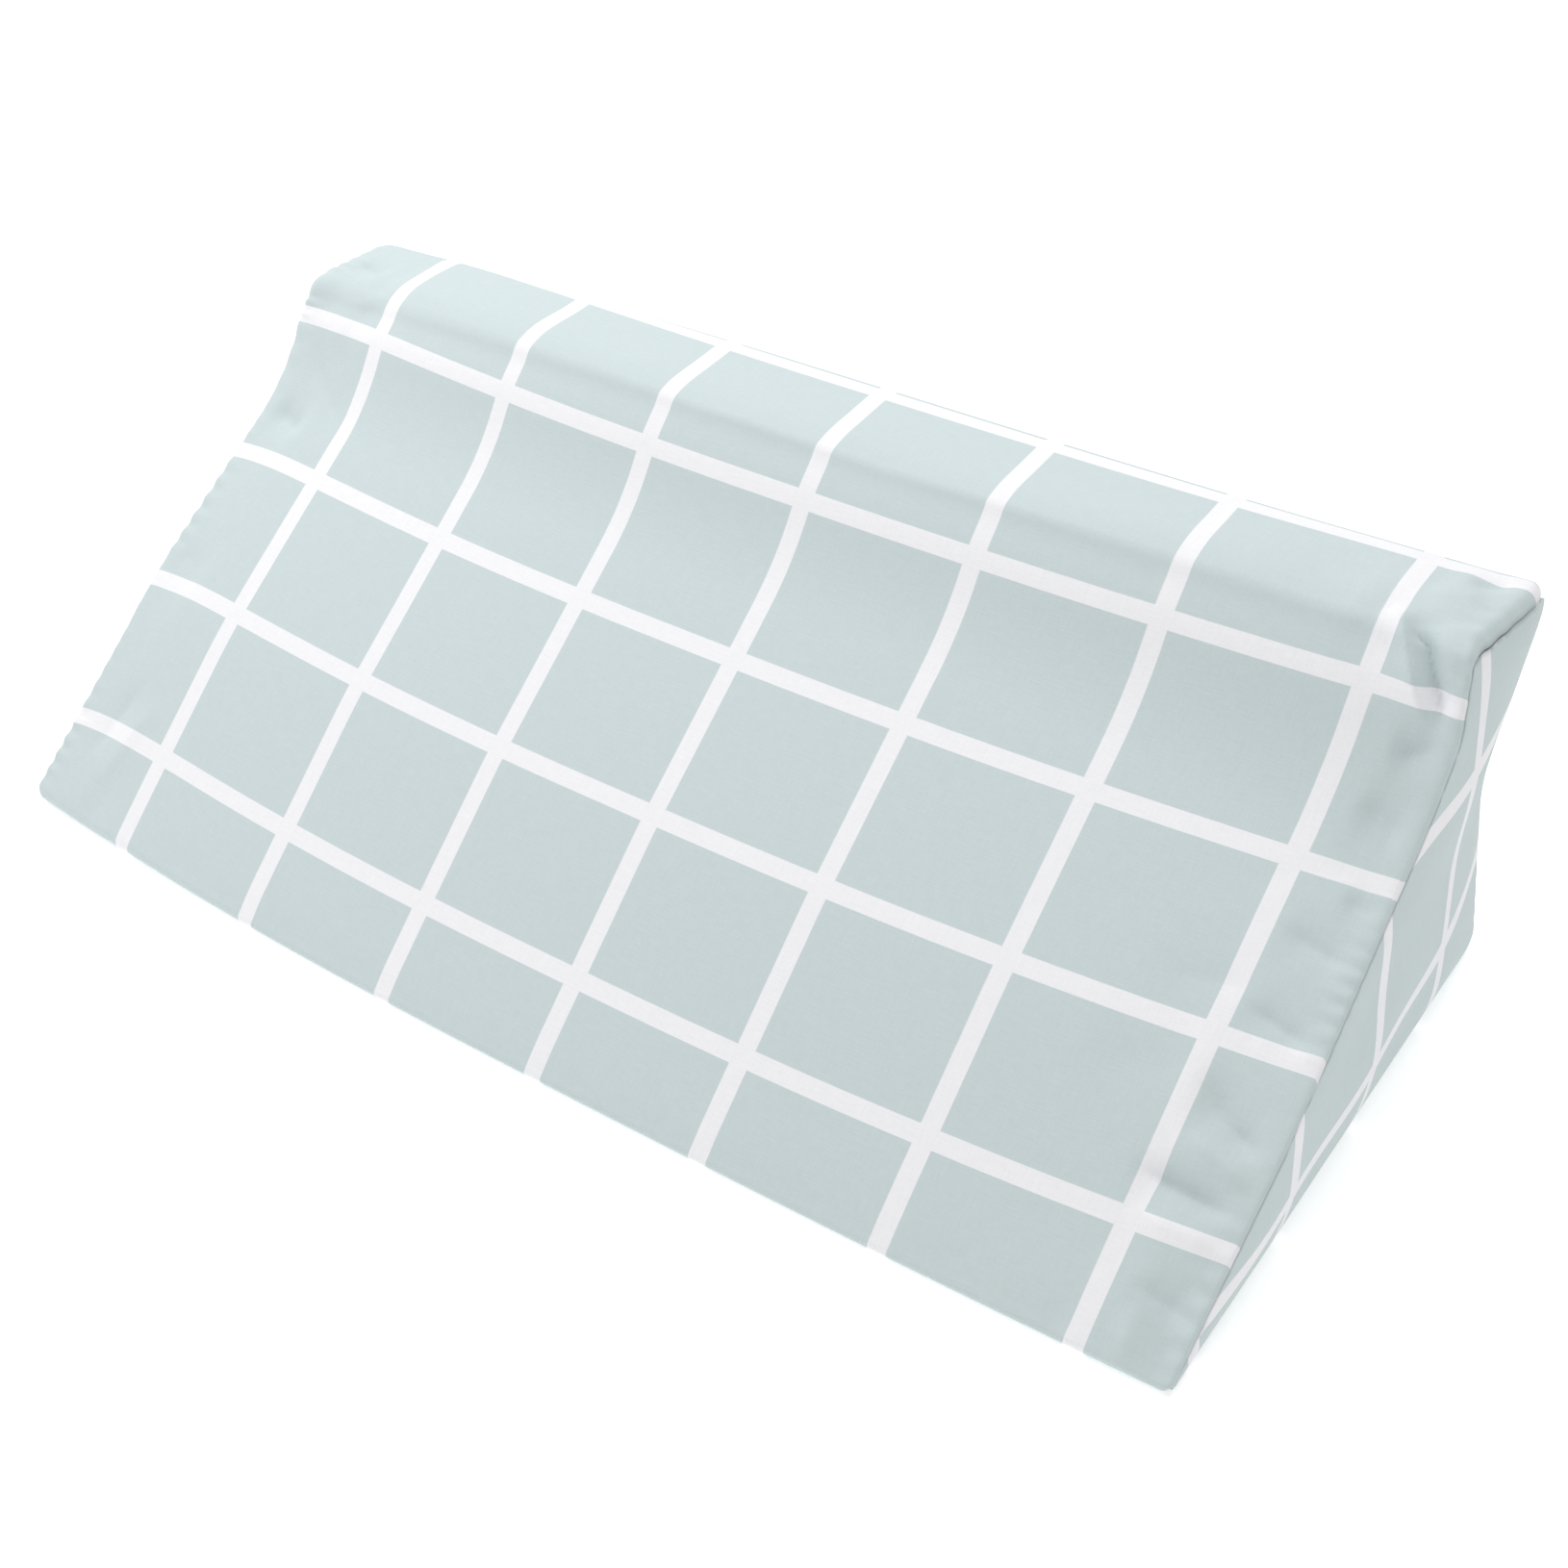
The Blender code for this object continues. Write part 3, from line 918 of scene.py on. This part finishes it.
cushion.data.materials.clear()
cushion.data.materials.append(check_cotton("printed_cotton_cover", STRIP_CHECK))
end_cotton = check_cotton("printed_cotton_end", END_CHECK)
for panel in PANELS.values():
    slant_measures(panel.data)
    panel.data.materials.clear()
    panel.data.materials.append(end_cotton)
print("materials:", [material.name for material in bpy.data.materials])

# %% [markdown]
# ## Floor and light
# The picture is a bright product shot: a white floor without a horizon, a small soft box at the
# upper left, a larger one above and behind the pillow, and fill from all round, so the shadows
# are faint. The floor glows a little, as an overexposed studio floor seems to.

# %% Floor
FLOOR_SIDE = 12.0
FLOOR_GLOW = 0.38
bpy.ops.object.select_all(action="DESELECT")
bpy.ops.mesh.primitive_plane_add(size=FLOOR_SIDE)
floor = bpy.context.object
floor.name = "studio_floor"
floor_paint = bpy.data.materials.new("matt_white_floor")
floor_paint.use_nodes = True
floor_shader = floor_paint.node_tree.nodes["Principled BSDF"]
floor_shader.inputs["Base Color"].default_value = linear("#fafafa")
floor_shader.inputs["Roughness"].default_value = 0.9
floor_shader.inputs["Emission Color"].default_value = (1, 1, 1, 1)
floor_shader.inputs["Emission Strength"].default_value = FLOOR_GLOW
floor.data.materials.append(floor_paint)
print("floor side in metres:", FLOOR_SIDE)

# %% Light
LIT_POINT = Vector((0, 0, 0.08))
SKY_STRENGTH = 0.59


def soft_light(name, place, watts, size):
    """A square soft box that faces the pillow."""
    bpy.ops.object.select_all(action="DESELECT")
    bpy.ops.object.light_add(type="AREA", location=place)
    light = bpy.context.object
    light.name = name
    light.data.energy = watts
    light.data.size = size
    light.rotation_euler = (LIT_POINT - Vector(place)).to_track_quat("-Z", "Y").to_euler()
    print(name, "at", place, "with", watts, "watts")


soft_light("key_soft_box", (-0.75, -0.15, 1.0), 4.1, 0.4)
soft_light("overhead_soft_box", (-0.1, 0.5, 1.5), 9.0, 1.0)
sky = bpy.data.worlds.new("studio")
sky.use_nodes = True
sky.node_tree.nodes["Background"].inputs["Color"].default_value = (1, 1, 1, 1)
sky.node_tree.nodes["Background"].inputs["Strength"].default_value = SKY_STRENGTH
bpy.context.scene.world = sky
bpy.context.scene.view_settings.view_transform = "Standard"
